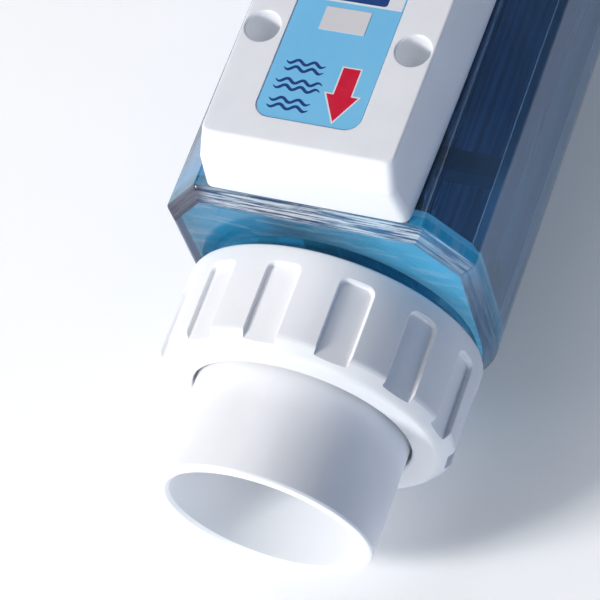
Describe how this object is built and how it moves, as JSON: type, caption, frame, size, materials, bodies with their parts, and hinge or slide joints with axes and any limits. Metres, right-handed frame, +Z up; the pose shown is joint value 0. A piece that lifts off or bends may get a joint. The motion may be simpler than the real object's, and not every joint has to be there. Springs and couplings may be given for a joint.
{
  "type": "salt chlorine generator",
  "caption": "Inline electrolytic chlorinator: a clear flow cell with titanium plates, a white terminal cover, and a threaded union with a pipe socket at each end.",
  "frame": {"origin": "centre of the outlet socket's mouth, on the pipe axis", "axes": "+X is the direction of flow, out of the outlet; +Z is up, out of the terminal cover; +Y is to the right when looking into the outlet with the cover up"},
  "size_m": [0.3176, 0.0824, 0.1089],
  "materials": {
    "clear_plastic": "polished, clear with a smoke-blue tint",
    "white_pvc": "satin moulded",
    "white_cover": "satin moulded",
    "grey_rubber": "matt",
    "black_rubber": "matt",
    "label_sheet": "printed, satin",
    "sticker": "matt paper",
    "stainless_steel": "turned",
    "brass": "turned",
    "coated_titanium": "matt oxide coating",
    "bare_titanium": "rolled",
    "comb_plastic": "moulded",
    "black_nylon": "moulded"
  },
  "bodies": {
    "cell": {"cell_body": "clear_plastic", "outlet_end_cap": "clear_plastic", "inlet_end_cap": "clear_plastic", "outlet_adapter": "clear_plastic", "inlet_adapter": "clear_plastic", "outlet_oring": "black_rubber", "inlet_oring": "black_rubber", "terminal_cover": "white_cover", "cover_gasket": "grey_rubber", "label_plate": "label_sheet", "rating_sticker": "sticker", "cover_screws": "stainless_steel", "screw_inserts": "brass", "anode_plates": "coated_titanium", "cathode_plates": "bare_titanium", "upper_plate_combs": "comb_plastic", "lower_plate_combs": "comb_plastic", "anode_bus_bar": "bare_titanium", "cathode_bus_bar": "bare_titanium", "anode_stud": "bare_titanium", "cathode_stud": "bare_titanium", "stud_seals": "black_rubber", "stud_washers": "stainless_steel", "stud_nuts": "stainless_steel", "terminal_nuts": "stainless_steel", "gland_washer": "black_rubber", "gland_body": "black_nylon", "gland_lock_nut": "black_nylon"},
    "outlet_tail": {"outlet_tailpiece": "white_pvc"},
    "outlet_nut": {"outlet_union_nut": "white_pvc"},
    "inlet_tail": {"inlet_tailpiece": "white_pvc"},
    "inlet_nut": {"inlet_union_nut": "white_pvc"},
    "gland_seal": {"gland_seal": "black_rubber"},
    "gland_nut": {"gland_dome_nut": "black_nylon"}
  },
  "joints": [
    {"name": "outlet_tail_slide", "type": "slide", "parent": "cell", "child": "outlet_tail", "axis": [1, 0, 0], "range_m": [0, 0.0238]},
    {"name": "outlet_nut_turn", "type": "hinge", "parent": "outlet_tail", "child": "outlet_nut", "pos_m": [-0.043, 0, 0], "axis": [1, 0, 0], "range_deg": [0, 1720]},
    {"name": "inlet_tail_slide", "type": "slide", "parent": "cell", "child": "inlet_tail", "axis": [-1, 0, 0], "range_m": [0, 0.0238]},
    {"name": "inlet_nut_turn", "type": "hinge", "parent": "inlet_tail", "child": "inlet_nut", "pos_m": [-0.2746, 0, 0], "axis": [-1, 0, 0], "range_deg": [0, 1720]},
    {"name": "gland_seal_slide", "type": "slide", "parent": "cell", "child": "gland_seal", "axis": [-1, 0, 0], "range_m": [0, 0.0044]},
    {"name": "gland_nut_turn", "type": "hinge", "parent": "gland_seal", "child": "gland_nut", "pos_m": [-0.266, 0, 0.0556], "axis": [-1, 0, 0], "range_deg": [0, 1075]}
  ],
  "couplings": [
    {"joint": "outlet_nut_turn", "follows": "outlet_tail_slide", "rad_per_m": 1256.6},
    {"joint": "inlet_nut_turn", "follows": "inlet_tail_slide", "rad_per_m": 1256.6},
    {"joint": "gland_nut_turn", "follows": "gland_seal_slide", "rad_per_m": 4188.8}
  ]
}
